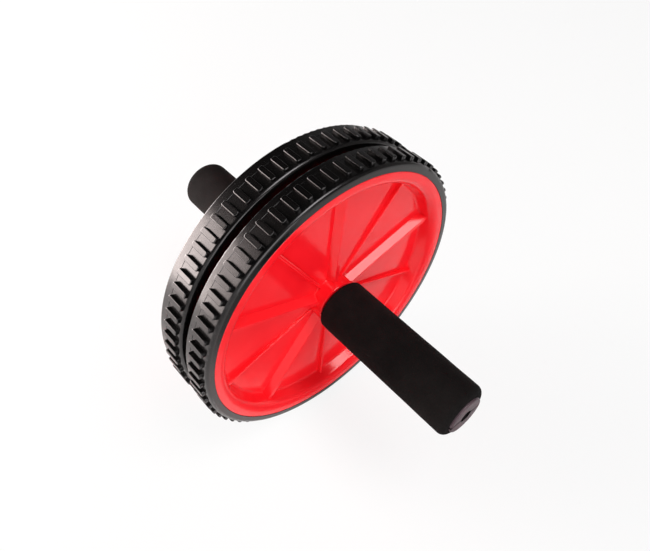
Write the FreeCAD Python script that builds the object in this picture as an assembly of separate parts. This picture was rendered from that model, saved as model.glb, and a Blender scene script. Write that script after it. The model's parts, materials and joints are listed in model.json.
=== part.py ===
import FreeCAD, Part
import math
import os

# Double ab wheel roller: two wheels turn freely on one steel axle with a foam grip at each end.
# Millimetres. X runs along the axle, +Z is up, and the floor lies under the middle of the axle.

# Axle, its bushes and what holds the wheels on it
axle_r = 6.0
axle_end_chamfer = 0.8
running_clearance = 0.05
seat_clearance = 0.05
end_float = 0.2
bush_wall = 2.0
bush_flange_land = 1.4
bush_flange_t = 0.8
bush_length = 7.0
spacer_length = 2.4
spacer_wall = 3.2
washer_land = 2.8
washer_t = 1.0
clip_t = 1.0
clip_land = 2.2
clip_groove_depth = 0.8
clip_groove_play = 0.1
clip_mouth = 8.4

# Wheel disc: a moulded dish with a flat lip, a web with ribs and thin fins in turn, and a hub boss
wheel_gap = 4.0
wheel_width = 18.8
lip_r = 84.0
lip_width = 7.2
bowl_depth = 9.3
bowl_wall_draft = 3.2
bowl_top_round = 5.2
bowl_foot_round = 1.8
web_t = 2.6
flange_t = 2.4
flange_height = 4.5
back_flange_height = 1.5
flange_round = 0.7
barrel_wall = 5.2
hub_length = 18.0
boss_wall = 5.6
boss_round = 0.9
boss_foot_round = 0.6
rib_count = 5
rib_phase_deg = 155.3
rib_foot_width = 7.0
rib_top_width = 2.6
rib_height = 4.6
rib_round = 0.4
fin_width = 1.9
fin_hub_height = 1.2
fin_rim_height = 3.0
fin_round = 0.6
back_rib_width = 1.8
back_rib_setback = 1.5

# Tyre: a rubber band between the rim's flanges, with raised cross bars
band_t = 4.8
left_edge_round = 1.0
right_edge_round = 2.0
sidewall_inset = 0.2
tyre_foot_round = 0.4
bar_count = 72
bar_height = 2.2
bar_width = 3.2
bar_length = 11.0
bar_corner_round = 1.1
bar_edge_round = 0.45
bar_root = 1.2
left_bar_offset = 2.2
right_bar_offset = 1.0
bar_phase_deg = 0.5
bar_stagger_share = 0.5

# Handle: two moulded half shells round the axle, with a foam sleeve over them
handle_gap = 0.4
handle_length = 91.8
mouth_clearance = 0.6
mouth_wall = 1.6
core_wall = 2.2
diaphragm_t = 5.0
bay_count = 4
end_block_length = 14.5
end_wall = 4.8
end_stand = 1.3
end_round = 0.9
end_hole_r = 3.5
parting_gap = 0.4
foam_t = 4.5
foam_inner_round = 1.6
foam_outer_round = 4.0
dowel_r = 1.0
dowel_length = 6.0
pin_r = 1.5
pin_share = 0.8

# Every cut runs past the surface it opens by this much
overrun = 1.0

# Sizes that follow from those above
bush_bore_r = axle_r + running_clearance
hub_bore_r = bush_bore_r + bush_wall
bush_flange_r = hub_bore_r + bush_flange_land
boss_r = hub_bore_r + boss_wall
rim_seat_r = lip_r - flange_height
back_flange_r = rim_seat_r + back_flange_height
tread_base_r = lip_r + band_t
bar_tip_r = tread_base_r + bar_height
axle_height = bar_tip_r

wheel_in_x = wheel_gap / 2
wheel_out_x = wheel_in_x + wheel_width
wheel_mid_x = wheel_in_x + wheel_width / 2
lip_inner_r = lip_r - lip_width
bowl_foot_r = lip_inner_r - bowl_wall_draft
web_out_x = wheel_out_x - bowl_depth
web_in_x = web_out_x - web_t
back_bowl_r = rim_seat_r - barrel_wall
rib_root_r = (hub_bore_r + boss_r) / 2
rib_end_r = (lip_inner_r + rim_seat_r) / 2

hub_in_x = spacer_length / 2 + end_float + bush_flange_t
hub_out_x = hub_in_x + hub_length
washer_x = hub_out_x + bush_flange_t + end_float
clip_x = washer_x + washer_t + clip_groove_play / 2
washer_r = axle_r + washer_land
clip_r = axle_r + clip_land
clip_groove_r = axle_r - clip_groove_depth

handle_x = hub_out_x + bush_flange_t + handle_gap
handle_end_x = handle_x + handle_length
foam_end_x = handle_end_x - end_stand
mouth_r = washer_r + mouth_clearance
mouth_end_x = clip_x + clip_t + mouth_clearance
core_r = mouth_r + mouth_wall
core_bore_r = axle_r + seat_clearance
cavity_r = core_r - core_wall
foam_bore_r = core_r + seat_clearance
foam_r = foam_bore_r + foam_t
end_block_x = handle_end_x - end_block_length
axle_end_x = handle_end_x - end_wall - seat_clearance
pin_x = (end_block_x + axle_end_x) / 2
pin_half = core_r * pin_share
dowel_y = (core_bore_r + core_r) / 2
bay_step = (end_block_x - mouth_end_x) / bay_count
bay_length = bay_step - diaphragm_t

origin = FreeCAD.Vector(0, 0, 0)
along = FreeCAD.Vector(1, 0, 0)
across = FreeCAD.Vector(0, 1, 0)
upward = FreeCAD.Vector(0, 0, 1)


def rounded_face(corners, first, second):
    # Flat face through (u, v, round) corners, measured along two directions, with each corner rounded.
    points = [first * u + second * v for u, v, radius in corners]
    edges = []
    starts = []
    ends = []
    for i, (u, v, radius) in enumerate(corners):
        here = points[i]
        back = (points[i - 1] - here).normalize()
        ahead = (points[(i + 1) % len(points)] - here).normalize()
        half = math.acos(max(-1.0, min(1.0, back.dot(ahead)))) / 2
        if radius == 0:
            starts.append(here)
            ends.append(here)
            edges.append(None)
            continue
        reach = radius / math.tan(half)
        middle = (back + ahead).normalize() * (radius / math.sin(half) - radius)
        starts.append(here + back * reach)
        ends.append(here + ahead * reach)
        edges.append(Part.Arc(starts[i], here + middle, ends[i]).toShape())
    outline = []
    for i, arc in enumerate(edges):
        if arc is not None:
            outline.append(arc)
        following = starts[(i + 1) % len(starts)]
        outline.append(Part.LineSegment(ends[i], following).toShape())
    return Part.Face(Part.Wire(outline))


def turned(corners):
    # Solid of revolution about the axle from (x, radius, round) corners.
    return rounded_face(corners, along, across).revolve(origin, along, 360)


def ring(x, length, inner_r, outer_r):
    return turned([(x, inner_r, 0), (x, outer_r, 0), (x + length, outer_r, 0), (x + length, inner_r, 0)])


def rod(x, length, radius):
    return Part.makeCylinder(radius, length, along * x, along)


def spun(shape, degrees):
    copy = shape.copy()
    copy.rotate(origin, along, degrees)
    return copy


def mirrored(shape):
    return shape.mirror(origin, along)


def axle():
    reach = axle_end_x
    body = turned([
        (-reach, 0, 0), (-reach, axle_r - axle_end_chamfer, 0), (-reach + axle_end_chamfer, axle_r, 0),
        (reach - axle_end_chamfer, axle_r, 0), (reach, axle_r - axle_end_chamfer, 0), (reach, 0, 0)])
    groove_width = clip_t + clip_groove_play
    groove = ring(clip_x - clip_groove_play / 2, groove_width, clip_groove_r, axle_r + overrun)
    hole_r = pin_r + seat_clearance
    hole = Part.makeCylinder(hole_r, 2 * core_r, FreeCAD.Vector(pin_x, -core_r, 0), across)
    return body.cut([groove, mirrored(groove), hole, mirrored(hole)])


def centre_spacer():
    return ring(-spacer_length / 2, spacer_length, axle_r + seat_clearance, axle_r + spacer_wall)


def thrust_washer():
    return ring(washer_x, washer_t, axle_r + seat_clearance, washer_r)


def circlip():
    # Open ring pushed sideways into the axle's groove.
    body = ring(clip_x, clip_t, clip_groove_r + seat_clearance, clip_r)
    mouth = Part.makeBox(
        clip_t + 2 * overrun, clip_mouth, clip_r + overrun,
        FreeCAD.Vector(clip_x - overrun, -clip_mouth / 2, -clip_r - overrun))
    return body.cut(mouth)


def bush(face_x, inward):
    # Flanged bush pushed into the hub: its flange lies outside the hub's face, its sleeve runs inward.
    rim_x = face_x - inward * bush_flange_t
    tail_x = face_x + inward * bush_length
    return turned([
        (rim_x, bush_bore_r, 0), (rim_x, bush_flange_r, 0), (face_x, bush_flange_r, 0),
        (face_x, hub_bore_r, 0), (tail_x, hub_bore_r, 0), (tail_x, bush_bore_r, 0)])


def dish_rib():
    # Rib with sloping sides on the dish side of the web, from the boss to the bowl's wall.
    foot = rib_foot_width / 2
    top = rib_top_width / 2
    top_x = web_out_x + rib_height
    section = rounded_face([
        (web_in_x, -foot, 0), (web_out_x, -foot, 0), (top_x, -top, rib_round),
        (top_x, top, rib_round), (web_out_x, foot, 0), (web_in_x, foot, 0)], along, upward)
    section.translate(across * rib_root_r)
    return section.extrude(across * (rib_end_r - rib_root_r))


def dish_fin():
    # Thin fin between the ribs, which grows taller towards the bowl's wall.
    side = rounded_face([
        (web_in_x, rib_root_r, 0), (web_out_x + fin_hub_height, rib_root_r, 0),
        (web_out_x + fin_rim_height, rib_end_r, 0), (web_in_x, rib_end_r, 0)], along, across)
    side.translate(upward * (-fin_width / 2))
    fin = side.extrude(upward * fin_width)
    crest = [
        edge for edge in fin.Edges
        if edge.BoundBox.XMin > web_out_x and edge.BoundBox.YLength > rib_root_r]
    return fin.makeFillet(fin_round, crest)


def back_rib():
    # Stiffening rib on the side of the web that faces the other wheel.
    low_x = wheel_in_x + back_rib_setback
    return Part.makeBox(
        web_out_x - web_t / 2 - low_x, rim_seat_r - barrel_wall / 2 - rib_root_r, back_rib_width,
        FreeCAD.Vector(low_x, rib_root_r, -back_rib_width / 2))


def wheel_disc():
    body = turned([
        (hub_in_x, hub_bore_r, 0), (hub_in_x, boss_r, boss_round), (web_in_x, boss_r, 0),
        (web_in_x, back_bowl_r, bowl_foot_round), (wheel_in_x, back_bowl_r, 0),
        (wheel_in_x, back_flange_r, flange_round), (wheel_in_x + flange_t, back_flange_r, 0),
        (wheel_in_x + flange_t, rim_seat_r, 0), (wheel_out_x - flange_t, rim_seat_r, 0),
        (wheel_out_x - flange_t, lip_r, 0), (wheel_out_x, lip_r, flange_round),
        (wheel_out_x, lip_inner_r, bowl_top_round), (web_out_x, bowl_foot_r, bowl_foot_round),
        (web_out_x, boss_r, boss_foot_round), (hub_out_x, boss_r, boss_round), (hub_out_x, hub_bore_r, 0)])
    step = 360 / rib_count
    ribs = []
    for i in range(rib_count):
        rib_deg = rib_phase_deg + i * step
        fin_deg = rib_deg + step / 2
        ribs.append(spun(dish_rib(), rib_deg))
        ribs.append(spun(dish_fin(), fin_deg))
        ribs.append(spun(back_rib(), rib_deg))
        ribs.append(spun(back_rib(), fin_deg))
    return body.fuse(ribs).removeSplitter()


def tread_bar():
    # One raised bar, standing out along +Y from the band at the middle of its length.
    length = bar_length / 2
    width = bar_width / 2
    plan = rounded_face([
        (-length, -width, bar_corner_round), (length, -width, bar_corner_round),
        (length, width, bar_corner_round), (-length, width, bar_corner_round)], along, upward)
    foot_r = tread_base_r - bar_root
    plan.translate(across * foot_r)
    bar = plan.extrude(across * (bar_tip_r - foot_r))
    top = [edge for edge in bar.Edges if edge.BoundBox.YMin > (tread_base_r + bar_tip_r) / 2]
    return bar.makeFillet(bar_edge_round, top)


def tyre(mid_x, left_flange_r, right_flange_r, bar_offset, phase_deg):
    # Band over the rim's flanges with its foot between them, and the bars round its tread.
    side = wheel_width / 2
    foot = side - flange_t - seat_clearance
    seat_r = rim_seat_r + seat_clearance
    left_lap_r = left_flange_r + seat_clearance
    right_lap_r = right_flange_r + seat_clearance
    body = turned([
        (-foot, seat_r, tyre_foot_round), (-foot, left_lap_r, 0), (-side, left_lap_r, 0),
        (-side + sidewall_inset, tread_base_r, left_edge_round),
        (side - sidewall_inset, tread_base_r, right_edge_round),
        (side, right_lap_r, 0), (foot, right_lap_r, 0), (foot, seat_r, tyre_foot_round)])
    bar = tread_bar()
    bar.translate(along * bar_offset)
    pitch = 360 / bar_count
    whole = body.fuse([spun(bar, phase_deg + i * pitch) for i in range(bar_count)])
    whole.translate(along * mid_x)
    return whole


def handle_core():
    # The core before it is parted: a tube closed at its outer end, with diaphragms that grip the axle.
    body = turned([
        (handle_x, 0, 0), (handle_x, core_r, 0), (handle_end_x, core_r, end_round), (handle_end_x, 0, 0)])
    cuts = [
        rod(handle_x - overrun, mouth_end_x - handle_x + overrun, mouth_r),
        rod(handle_x - overrun, axle_end_x + seat_clearance - handle_x + overrun, core_bore_r),
        rod(axle_end_x, handle_end_x - axle_end_x + overrun, end_hole_r)]
    for i in range(bay_count):
        cuts.append(rod(mouth_end_x + diaphragm_t + i * bay_step, bay_length, cavity_r))
    cuts.append(Part.makeCylinder(
        pin_r + seat_clearance, 2 * (pin_half + seat_clearance),
        FreeCAD.Vector(pin_x, -pin_half - seat_clearance, 0), across))
    for place in dowel_places():
        reach = dowel_length / 2 + seat_clearance
        cuts.append(Part.makeCylinder(
            dowel_r + seat_clearance, 2 * reach, place - upward * reach, upward))
    return body.cut(cuts)


def dowel_places():
    # Two diaphragms carry a dowel on each side of the axle.
    places = []
    for bay in (0, bay_count - 1):
        x = mouth_end_x + bay * bay_step + diaphragm_t / 2
        places.append(FreeCAD.Vector(x, -dowel_y, 0))
        places.append(FreeCAD.Vector(x, dowel_y, 0))
    return places


def core_half(upper):
    height = core_r + overrun
    low = parting_gap / 2 if upper else -parting_gap / 2 - height
    keep = Part.makeBox(
        handle_length + 2 * overrun, 2 * height, height, FreeCAD.Vector(handle_x - overrun, -height, low))
    return handle_core().common(keep)


def core_dowels():
    half = upward * (dowel_length / 2)
    return Part.makeCompound([
        Part.makeCylinder(dowel_r, dowel_length, place - half, upward) for place in dowel_places()])


def cross_pin():
    return Part.makeCylinder(pin_r, 2 * pin_half, FreeCAD.Vector(pin_x, -pin_half, 0), across)


def foam_grip():
    return turned([
        (handle_x, foam_bore_r, 0), (handle_x, foam_r, foam_inner_round),
        (foam_end_x, foam_r, foam_outer_round), (foam_end_x, foam_bore_r, 0)])


def export(name, shape):
    shape.translate(upward * axle_height)
    shape.exportStep("parts/" + name + ".step")
    print(name, len(shape.Solids), "solids", shape.isValid(), round(shape.Volume), "mm3")


os.makedirs("parts", exist_ok=True)
export("axle", axle())
export("centre_spacer", centre_spacer())
paired = {
    "thrust_washer": thrust_washer(),
    "circlip": circlip(),
    "bush_inner": bush(hub_in_x, 1),
    "bush_outer": bush(hub_out_x, -1),
    "wheel_disc": wheel_disc(),
    "core_upper": core_half(True),
    "core_lower": core_half(False),
    "core_dowels": core_dowels(),
    "cross_pin": cross_pin(),
    "foam_grip": foam_grip(),
}
for name, shape in paired.items():
    export(name + "_left", mirrored(shape))
    export(name + "_right", shape)
bar_stagger_deg = bar_stagger_share * 360 / bar_count
right_tyre = tyre(wheel_mid_x, back_flange_r, lip_r, right_bar_offset, bar_phase_deg)
left_tyre = tyre(-wheel_mid_x, lip_r, back_flange_r, left_bar_offset, bar_phase_deg + bar_stagger_deg)
export("tyre_left", left_tyre)
export("tyre_right", right_tyre)
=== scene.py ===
import json
import math
import bmesh
import bpy
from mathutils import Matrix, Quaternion, Vector, noise


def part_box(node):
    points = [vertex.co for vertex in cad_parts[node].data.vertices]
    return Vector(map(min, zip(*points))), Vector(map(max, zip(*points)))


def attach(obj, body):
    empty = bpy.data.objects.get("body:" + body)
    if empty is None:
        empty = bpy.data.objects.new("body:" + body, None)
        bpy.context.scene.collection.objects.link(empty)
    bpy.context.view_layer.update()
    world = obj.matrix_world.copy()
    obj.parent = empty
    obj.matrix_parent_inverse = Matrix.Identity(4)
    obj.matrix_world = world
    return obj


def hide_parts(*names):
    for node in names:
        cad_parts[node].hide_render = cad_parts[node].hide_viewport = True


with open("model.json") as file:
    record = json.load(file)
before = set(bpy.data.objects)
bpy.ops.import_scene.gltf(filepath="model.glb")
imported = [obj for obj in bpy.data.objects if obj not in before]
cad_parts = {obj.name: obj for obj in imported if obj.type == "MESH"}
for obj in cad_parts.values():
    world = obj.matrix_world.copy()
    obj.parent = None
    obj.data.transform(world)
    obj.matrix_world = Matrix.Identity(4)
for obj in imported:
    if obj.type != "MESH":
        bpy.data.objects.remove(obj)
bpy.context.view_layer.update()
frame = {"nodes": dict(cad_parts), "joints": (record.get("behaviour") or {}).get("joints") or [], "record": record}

axleHeight = frame["joints"][0]["pos_m"][2]  # both wheels turn about the axle's line
print("frame in:", len(frame["nodes"]), "nodes")


class Wire:
    # a socket that can stand in a formula
    def __init__(self, tree, socket):
        self.tree, self.socket = tree, socket

    def maths(self, operation, first, second):
        step = self.tree.nodes.new("ShaderNodeMath")
        step.operation = operation
        for place, value in zip(step.inputs, (first, second)):
            if isinstance(value, Wire):
                self.tree.links.new(value.socket, place)
            else:
                place.default_value = value
        return Wire(self.tree, step.outputs[0])

    def __add__(self, other):
        return self.maths("ADD", self, other)

    def __radd__(self, other):
        return self.maths("ADD", other, self)

    def __sub__(self, other):
        return self.maths("SUBTRACT", self, other)

    def __rsub__(self, other):
        return self.maths("SUBTRACT", other, self)

    def __mul__(self, other):
        return self.maths("MULTIPLY", self, other)

    def __rmul__(self, other):
        return self.maths("MULTIPLY", other, self)

    def __abs__(self):
        return self.maths("ABSOLUTE", self, 0)


class NodeTree:
    # makes and joins the nodes of one tree
    def __init__(self, tree):
        self.tree = tree

    def node(self, kind, settings=None, sockets=None, out=0):
        made = self.tree.nodes.new("ShaderNode" + kind)
        for key, value in (settings or {}).items():
            if key == "stops":
                for stop, (at, colour) in zip(made.color_ramp.elements, value):
                    stop.position, stop.color = at, (*colour, 1)
            else:
                setattr(made, key, value)
        for key, value in (sockets or {}).items():
            self.join(value, made.inputs[key])
        return Wire(self.tree, made.outputs[out])

    def join(self, value, socket):
        if isinstance(value, Wire):
            self.tree.links.new(value.socket, socket)
        else:
            socket.default_value = value

    def along(self, vector, axis):
        return self.node("SeparateXYZ", {}, {0: vector}, axis)


class Finish(NodeTree):
    # one material: patterns in the object's own place, worn by a Principled skin
    def __init__(self, name):
        self.material = bpy.data.materials.new(name)
        self.material.use_nodes = True
        super().__init__(self.material.node_tree)
        self.skin = self.tree.nodes["Principled BSDF"]
        self.place = self.node("TexCoord", out="Object")

    def grain(self, scale, detail, rough=0.55):
        sockets = {"Vector": self.place, "Scale": scale, "Detail": detail, "Roughness": rough}
        return self.node("TexNoise", {}, sockets, "Fac")

    def spread(self, value, low, high):
        return self.node("MapRange", {}, {"Value": value, "From Min": low, "From Max": high})

    def blend(self, factor, first, second):
        first, second = (c if isinstance(c, Wire) else (*c, 1) for c in (first, second))
        sockets = {0: factor, 6: first, 7: second}  # 6 and 7 take the colours, and output 2 gives one
        return self.node("Mix", {"data_type": "RGBA"}, sockets, 2)

    def centred(self):
        return self.node("Mapping", {}, {"Vector": self.place, "Location": (0, 0, -axleHeight)})

    def fromAxle(self):
        flat = self.node("VectorMath", {"operation": "MULTIPLY"}, {0: self.centred(), 1: (0, 1, 1)})
        return self.node("VectorMath", {"operation": "LENGTH"}, {0: flat}, "Value")

    def wear(self, **sockets):
        for key, value in sockets.items():
            self.join(value, self.skin.inputs[key.replace("_", " ")])

    def relief(self, height, strength, depth):
        self.wear(Normal=self.node("Bump", {}, {"Strength": strength, "Distance": depth, "Height": height}))


# In the finishes a grain is its scale, detail and roughness, a span the part of a noise that shows,
# dull and polish change the roughness, swell the relief's height, and lengths are in metres.
redShell = {"deep": (0.88, 0.008, 0.015), "fresh": (0.95, 0.012, 0.020), "span": (0.3, 0.7),
            "clouds": (35, 2), "fine": (420, 4), "gloss": 0.10, "fineDull": 0.06, "cloudDull": 0.03,
            "ior": 1.5, "shine": 0.38, "cloudSwell": 2, "relief": 0.03, "depth": 0.0004}


def makeRedShell():
    f, look = Finish("redShell"), redShell
    clouds, fine = f.grain(*look["clouds"]), f.grain(*look["fine"])
    f.wear(Base_Color=f.blend(f.spread(clouds, *look["span"]), look["deep"], look["fresh"]),
           Roughness=look["gloss"] + fine * look["fineDull"] + clouds * look["cloudDull"],
           IOR=look["ior"], Specular_IOR_Level=look["shine"])
    f.relief(fine + clouds * look["cloudSwell"], look["relief"], look["depth"])
    return f.material


tyreSkin = {"black": (0.0011, 0.0010, 0.0010), "bloom": (0.0027, 0.0024, 0.0023), "span": (0.3, 0.75),
            "fine": (900, 4, 0.65), "broad": (60, 3), "gloss": 0.22, "fineDull": 0.08, "barPolish": 0.02,
            "barFoot": 0.0895, "barRise": 0.0008, "ior": 1.5, "tint": (1.0, 0.95, 0.965),
            "coat": 0.10, "coatDull": 0.15, "fineSwell": 0.05, "broadSwell": 0.04,
            "relief": 0.6, "depth": 0.0004}


def makeTyreSkin():
    f, look = Finish("tyreSkin"), tyreSkin
    fine, broad = f.grain(*look["fine"]), f.grain(*look["broad"])
    bar = f.spread(f.fromAxle(), look["barFoot"], look["barFoot"] + look["barRise"])  # bar tops are smoother
    f.wear(Base_Color=f.blend(f.spread(broad, *look["span"]), look["black"], look["bloom"]),
           Roughness=look["gloss"] + fine * look["fineDull"] - bar * look["barPolish"],
           IOR=look["ior"], Specular_Tint=(*look["tint"], 1),
           Coat_Weight=look["coat"], Coat_Roughness=look["coatDull"])
    f.relief(fine * look["fineSwell"] + broad * look["broadSwell"], look["relief"], look["depth"])
    return f.material


foamSkin = {"black": (0.0042, 0.0036, 0.0035), "dust": (0.0105, 0.0088, 0.0085), "span": (0.35, 0.65),
            "cells": 1500, "broad": (90, 4), "fine": (2600, 3, 0.7), "broadShare": 0.5,
            "gloss": 0.84, "fineDull": 0.16, "ior": 1.2, "fineSwell": 0.8, "relief": 0.35, "depth": 0.0004}


def makeFoamSkin():
    f, look = Finish("foamSkin"), foamSkin
    cells = f.node("TexVoronoi", {}, {"Vector": f.place, "Scale": look["cells"]}, "Distance")
    broad, fine = f.grain(*look["broad"]), f.grain(*look["fine"])
    specks = broad * look["broadShare"] + fine * (1 - look["broadShare"])
    f.wear(Base_Color=f.blend(f.spread(specks, *look["span"]), look["black"], look["dust"]),
           Roughness=look["gloss"] + fine * look["fineDull"], IOR=look["ior"])
    f.relief(cells + fine * look["fineSwell"], look["relief"], look["depth"])
    return f.material


# the darkest colour here is painted shade for the end hole and the parting line
coreShell = {"dark": (0.062, 0.038, 0.046), "light": (0.094, 0.062, 0.072), "gapShade": (0.003, 0.0025, 0.0025),
             "span": (0.3, 0.7), "fine": (1100, 3), "broad": (130, 3), "gloss": 0.30, "fineDull": 0.12,
             "ior": 1.5, "shine": 0.38, "tint": (1.0, 0.86, 0.91), "hole": 0.0039, "holeEdge": 0.0001,
             "parting": 0.0007, "partingEdge": 0.0003, "broadSwell": 0.5, "relief": 0.06, "depth": 0.0004}


def makeCoreShell():
    f, look = Finish("coreShell"), coreShell
    fine, broad = f.grain(*look["fine"]), f.grain(*look["broad"])
    face = f.blend(f.spread(broad, *look["span"]), look["dark"], look["light"])
    # painted shade: the end hole's wall is painted dark, and so is the parting line's gap between the two halves,
    # without shine
    solid = f.spread(f.fromAxle(), look["hole"], look["hole"] + look["holeEdge"])
    clear = f.spread(abs(f.along(f.centred(), "Z")), look["parting"], look["parting"] + look["partingEdge"])
    f.wear(Base_Color=f.blend(solid * clear, look["gapShade"], face), Metallic=1 - clear,
           Roughness=look["gloss"] + fine * look["fineDull"],
           IOR=look["ior"], Specular_IOR_Level=look["shine"], Specular_Tint=(*look["tint"], 1))
    f.relief(fine + broad * look["broadSwell"], look["relief"], look["depth"])
    return f.material


drawnSteel = {"bright": (0.62, 0.63, 0.64), "dull": (0.47, 0.47, 0.48), "endShade": (0.010, 0.009, 0.009),
              "span": (0.3, 0.7), "streak": (40, 900, 900), "streakDetail": 4, "streakDull": 0.15,
              "sawn": 0.00055, "sawnEdge": 0.0003, "sawnDull": 0.5, "relief": 0.08, "depth": 0.0002}


def makeSteel(name, tone, gloss):
    f, look = Finish(name), drawnSteel
    drawn = f.node("Mapping", {}, {"Vector": f.place, "Scale": look["streak"]})
    streak = f.node("TexNoise", {}, {"Vector": drawn, "Scale": 1, "Detail": look["streakDetail"]}, "Fac")
    bright, dull = (tuple(c * tone for c in look[key]) for key in ("bright", "dull"))
    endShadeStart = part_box("axle")[1].x - look["sawn"]  # the axle's sawn ends are painted black, as painted shade at the bottom of the core's end holes
    sawn = f.spread(abs(f.along(f.place, "X")), endShadeStart, endShadeStart + look["sawnEdge"])
    f.wear(Base_Color=f.blend(sawn, f.blend(f.spread(streak, *look["span"]), bright, dull), look["endShade"]),
           Roughness=gloss + streak * look["streakDull"] + sawn * look["sawnDull"], Metallic=1 - sawn)
    f.relief(streak, look["relief"], look["depth"])
    return f.material


nylonMilk = {"ivory": (0.74, 0.72, 0.66), "milk": (0.82, 0.81, 0.77), "span": (0.3, 0.7), "cloud": (220, 3),
             "fine": (1500, 3), "gloss": 0.38, "fineDull": 0.15, "ior": 1.53, "relief": 0.06, "depth": 0.0003}


def makeNylon():
    f, look = Finish("nylonMilk"), nylonMilk
    cloud, fine = f.grain(*look["cloud"]), f.grain(*look["fine"])
    f.wear(Base_Color=f.blend(f.spread(cloud, *look["span"]), look["ivory"], look["milk"]),
           Roughness=look["gloss"] + fine * look["fineDull"], IOR=look["ior"])
    f.relief(fine, look["relief"], look["depth"])
    return f.material


finishes = {
    "red_plastic": makeRedShell(),
    "tyre_rubber": makeTyreSkin(),
    "foam": makeFoamSkin(),
    "core_plastic": makeCoreShell(),
    "nylon": makeNylon(),
    "steel": makeSteel("drawnSteel", tone=1.0, gloss=0.22),
    "spring_steel": makeSteel("springSteel", tone=0.4, gloss=0.34),
}
slotOf = {row["node"]: row["material_slot"] for row in frame["record"]["subparts"]}
for name, node in frame["nodes"].items():
    node.data.materials.clear()
    node.data.materials.append(finishes[slotOf[name]])
print("finishes on:", len(finishes))


mergeGap = 1e-7  # metres


def keepPiece(bm, name, body, slot, smoothAngle):
    bmesh.ops.remove_doubles(bm, verts=bm.verts, dist=mergeGap)
    bmesh.ops.recalc_face_normals(bm, faces=bm.faces)
    for face in bm.faces:
        face.smooth = True
    for edge in bm.edges:
        edge.smooth = edge.calc_face_angle(0) < math.radians(smoothAngle)
    mesh = bpy.data.meshes.new(name)
    bm.to_mesh(mesh)
    bm.free()
    piece = bpy.data.objects.new(name, mesh)
    bpy.context.scene.collection.objects.link(piece)
    mesh.materials.append(finishes[slot])
    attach(piece, body)
    return piece


def closeLoop(bm, points):
    corners = [bm.verts.new((x, 0, axleHeight + r)) for x, r in points]
    for i, corner in enumerate(corners):
        bm.edges.new((corner, corners[i - 1]))
    return corners


def spinRound(bm, steps):
    bmesh.ops.spin(bm, geom=bm.verts[:] + bm.edges[:], cent=(0, 0, axleHeight), axis=(1, 0, 0),
                   dvec=(0, 0, 0), angle=math.tau, steps=steps, use_merge=True, use_duplicate=False)


# the sleeve's bore clears its core by the fit, and its skin sways as soft foam does
foamGrip = {"fit": 0.00005, "innerRound": 0.0016, "outerRound": 0.0040, "roundSteps": 8,
            "longEdge": 0.02, "alongCuts": 44, "aroundSteps": 128, "smooth": 40,
            "sway": 0.00010, "ripple": 70, "fineRipple": 160, "fineShare": 0.5}


def makeFoamGrip(sideName, side):
    g = foamGrip
    low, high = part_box("foam_grip_" + sideName)
    inner, outer = sorted((abs(low.x), abs(high.x)))
    radius = (high.z - low.z) / 2
    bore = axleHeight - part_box("core_lower_" + sideName)[0].z + g["fit"]
    bm = bmesh.new()
    outline = (inner, bore), (inner, radius), (outer, radius), (outer, bore)
    corners = closeLoop(bm, [(side * x, r) for x, r in outline])
    for corner, turn in ((corners[1], g["innerRound"]), (corners[2], g["outerRound"])):
        bmesh.ops.bevel(bm, geom=[corner], offset=turn, affect="VERTICES", segments=g["roundSteps"],
                        profile=0.5, material=-1)
    longEdges = [edge for edge in bm.edges if edge.calc_length() > g["longEdge"]]
    bmesh.ops.subdivide_edges(bm, edges=longEdges, cuts=g["alongCuts"])
    spinRound(bm, g["aroundSteps"])
    for v in bm.verts:  # full sway on the skin, none at the bore
        out = Vector((0, v.co.y, v.co.z - axleHeight))
        lift = max(0, (out.length - bore) / (radius - bore))
        wave = noise.noise(v.co * g["ripple"]) + g["fineShare"] * noise.noise(v.co * g["fineRipple"])
        v.co += out.normalized() * (wave * lift * g["sway"])
    piece = keepPiece(bm, "foamSleeve_" + sideName, "handle_frame", "foam", g["smooth"])
    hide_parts("foam_grip_" + sideName)


for sideName, side in (("left", -1), ("right", 1)):
    makeFoamGrip(sideName, side)
print("foam sleeves made")


# the fine flash that the mould leaves round each tyre beside the bars;
# left and right are how far it lies from the left face of that side's tyre
mouldSeam = {"left": 0.0058, "right": 0.0046, "band": 0.0888, "half": 0.00018, "rise": 0.00014,
             "sink": 0.0001, "aroundSteps": 288, "smooth": 20}


def makeMouldSeam(sideName):
    g = mouldSeam
    x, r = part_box("tyre_" + sideName)[0].x + g[sideName], g["band"]
    bm = bmesh.new()
    closeLoop(bm, ((x - g["half"], r - g["sink"]), (x, r + g["rise"]), (x + g["half"], r - g["sink"])))
    spinRound(bm, g["aroundSteps"])
    keepPiece(bm, "mouldSeam_" + sideName, "wheel_" + sideName, "tyre_rubber", g["smooth"])


for sideName in ("left", "right"):
    makeMouldSeam(sideName)
print("mould seams made")


# a round sheet of paper with a wall of the same paper round it
stageSet = {"floor": 6.0, "wall": 4.0, "segments": 96, "paper": (0.86, 0.86, 0.86), "gloss": 0.9,
            "glow": 0.985, "seenShare": 0.87, "mirroredShare": 0.08,
            "shade": 0.74, "shadeAcross": (0.028, 0.044), "shadeFront": (-0.060, -0.042),
            "shadeRear": (0.010, 0.085), "dim": 0.04}


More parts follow.
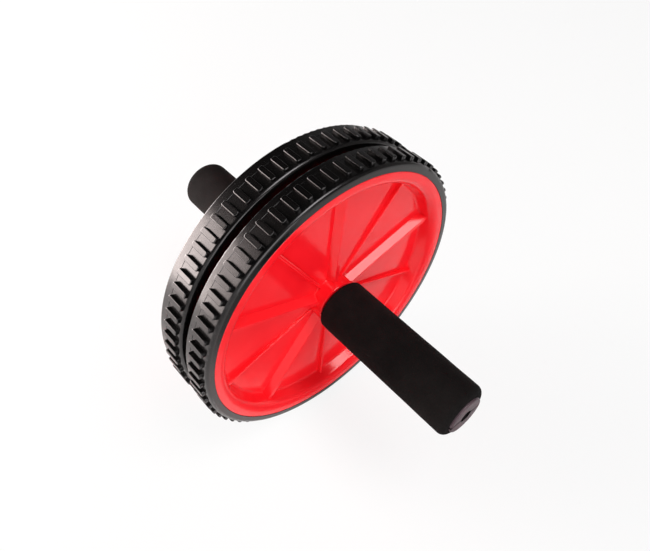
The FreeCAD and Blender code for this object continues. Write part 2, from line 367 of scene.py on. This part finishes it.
def makePaper():
    f, look = Finish("paperFloor"), stageSet
    f.wear(Base_Color=(*look["paper"], 1), Roughness=look["gloss"])
    seen = f.node("LightPath", out="Is Camera Ray")
    mirrored = f.node("LightPath", out="Is Glossy Ray") + f.node("LightPath", out="Is Transmission Ray")
    glow = f.node("Emission", {}, {"Color": (1, 1, 1, 1), "Strength": look["glow"]})
    dim = f.node("Emission", {}, {"Color": (1, 1, 1, 1), "Strength": look["dim"]})
    share = seen * look["seenShare"] + mirrored * look["mirroredShare"]
    lit = f.node("MixShader", {}, {0: share, 1: Wire(f.tree, f.skin.outputs[0]), 2: glow})
    # painted shade: to mirrored rays the paper beside the dish is painted darker, standing in for the wheel's and
    # the handle's own shade
    across, depth = f.along(f.place, "X"), f.along(f.place, "Y")
    beside = f.spread(across, *look["shadeAcross"]) * f.spread(depth, *look["shadeFront"])
    shade = beside * (1 - f.spread(depth, *look["shadeRear"])) * look["shade"]
    shaded = f.node("MixShader", {}, {0: mirrored * shade, 1: lit, 2: dim})
    f.join(shaded, f.tree.nodes["Material Output"].inputs["Surface"])
    return f.material


def makeStage():
    bm = bmesh.new()
    bmesh.ops.create_circle(bm, cap_ends=True, segments=stageSet["segments"], radius=stageSet["floor"])
    rim = bmesh.ops.extrude_edge_only(bm, edges=[edge for edge in bm.edges if edge.is_boundary])["geom"]
    top = [v for v in rim if isinstance(v, bmesh.types.BMVert)]
    bmesh.ops.translate(bm, verts=top, vec=(0, 0, stageSet["wall"]))
    mesh = bpy.data.meshes.new("paperFloor")
    bm.to_mesh(mesh)
    bm.free()
    mesh.materials.append(makePaper())
    floor = bpy.data.objects.new("paperFloor", mesh)
    bpy.context.scene.collection.objects.link(floor)


makeStage()
print("paper laid")


# a warm tall box and a low strip on the left for the treads,
# one overhead for the ribs, two dim ones for the dish
lamps = {
    "tallBoxLeft": {"toward": (-0.719, -0.652, 0.242), "away": 1.2, "size": (0.50, 0.84), "roll": 22,
                    "radiance": 15.5, "tint": (1, 0.90, 0.86)},
    "lowStripLeft": {"toward": (-0.92, -0.38, 0.10), "away": 1.3, "size": (0.70, 0.35), "roll": 0,
                     "radiance": 28.0, "tint": (1, 0.93, 0.91)},
    "boxOverhead": {"toward": (0.375, 0.15, 0.915), "away": 1.3, "size": (0.60, 0.60), "roll": 0,
                    "radiance": 9.0, "tint": (1, 1, 1)},
    "broadBoxRight": {"toward": (0.93, -0.25, 0.27), "away": 1.6, "size": (1.20, 0.80), "roll": 0,
                      "radiance": 3.9, "tint": (1, 1, 1)},
    "fillFront": {"toward": (0.35, -0.88, 0.30), "away": 1.5, "size": (1.20, 0.70), "roll": 0,
                  "radiance": 1.0, "tint": (1, 1, 1)},
}


def hangLamp(name, lamp):
    data = bpy.data.lights.new(name, "AREA")
    data.shape = "RECTANGLE"
    data.size, data.size_y = lamp["size"]
    data.energy = lamp["radiance"] * math.pi * data.size * data.size_y
    data.color = lamp["tint"]
    box = bpy.data.objects.new(name, data)
    bpy.context.scene.collection.objects.link(box)
    toward = Vector(lamp["toward"]).normalized()
    box.location = Vector((0, 0, axleHeight)) + toward * lamp["away"]
    roll = Quaternion((0, 0, 1), math.radians(lamp["roll"]))
    box.rotation_euler = (toward.to_track_quat("Z", "Y") @ roll).to_euler()


for name, lamp in lamps.items():
    hangLamp(name, lamp)


# each stop is the height of a direction and the room's grey there
room = {"stops": ((0.10, (0.06, 0.06, 0.06)), (0.75, (0.02, 0.02, 0.02)))}


def makeRoom():
    world = bpy.data.worlds.new("room")
    bpy.context.scene.world = world
    world.use_nodes = True
    sky = NodeTree(world.node_tree)
    height = sky.along(sky.node("TexCoord", out="Generated"), "Z")
    grey = sky.node("ValToRGB", {"stops": room["stops"]}, {0: height})
    sky.join(grey, world.node_tree.nodes["Background"].inputs["Color"])


makeRoom()
print("light on")


# the camera stands where a fit to the photograph puts it
camera = {"at": (0.1744, -0.1461, 0.3738), "pitch": 50.64, "yaw": 48.66,
          "lens": 34.8, "sensor": 36, "nearest": 0.01}


def setCamera():
    data = bpy.data.cameras.new("camera")
    data.sensor_fit = "HORIZONTAL"
    data.sensor_width, data.lens = camera["sensor"], camera["lens"]
    data.clip_start = camera["nearest"]
    eye = bpy.data.objects.new("camera", data)
    bpy.context.scene.collection.objects.link(eye)
    eye.location = camera["at"]
    eye.rotation_euler = (math.radians(90 - camera["pitch"]), 0, math.radians(camera["yaw"]))
    bpy.context.scene.camera = eye
    bpy.context.scene.view_settings.view_transform = "Standard"


setCamera()
print("camera set")

bpy.context.view_layer.update()
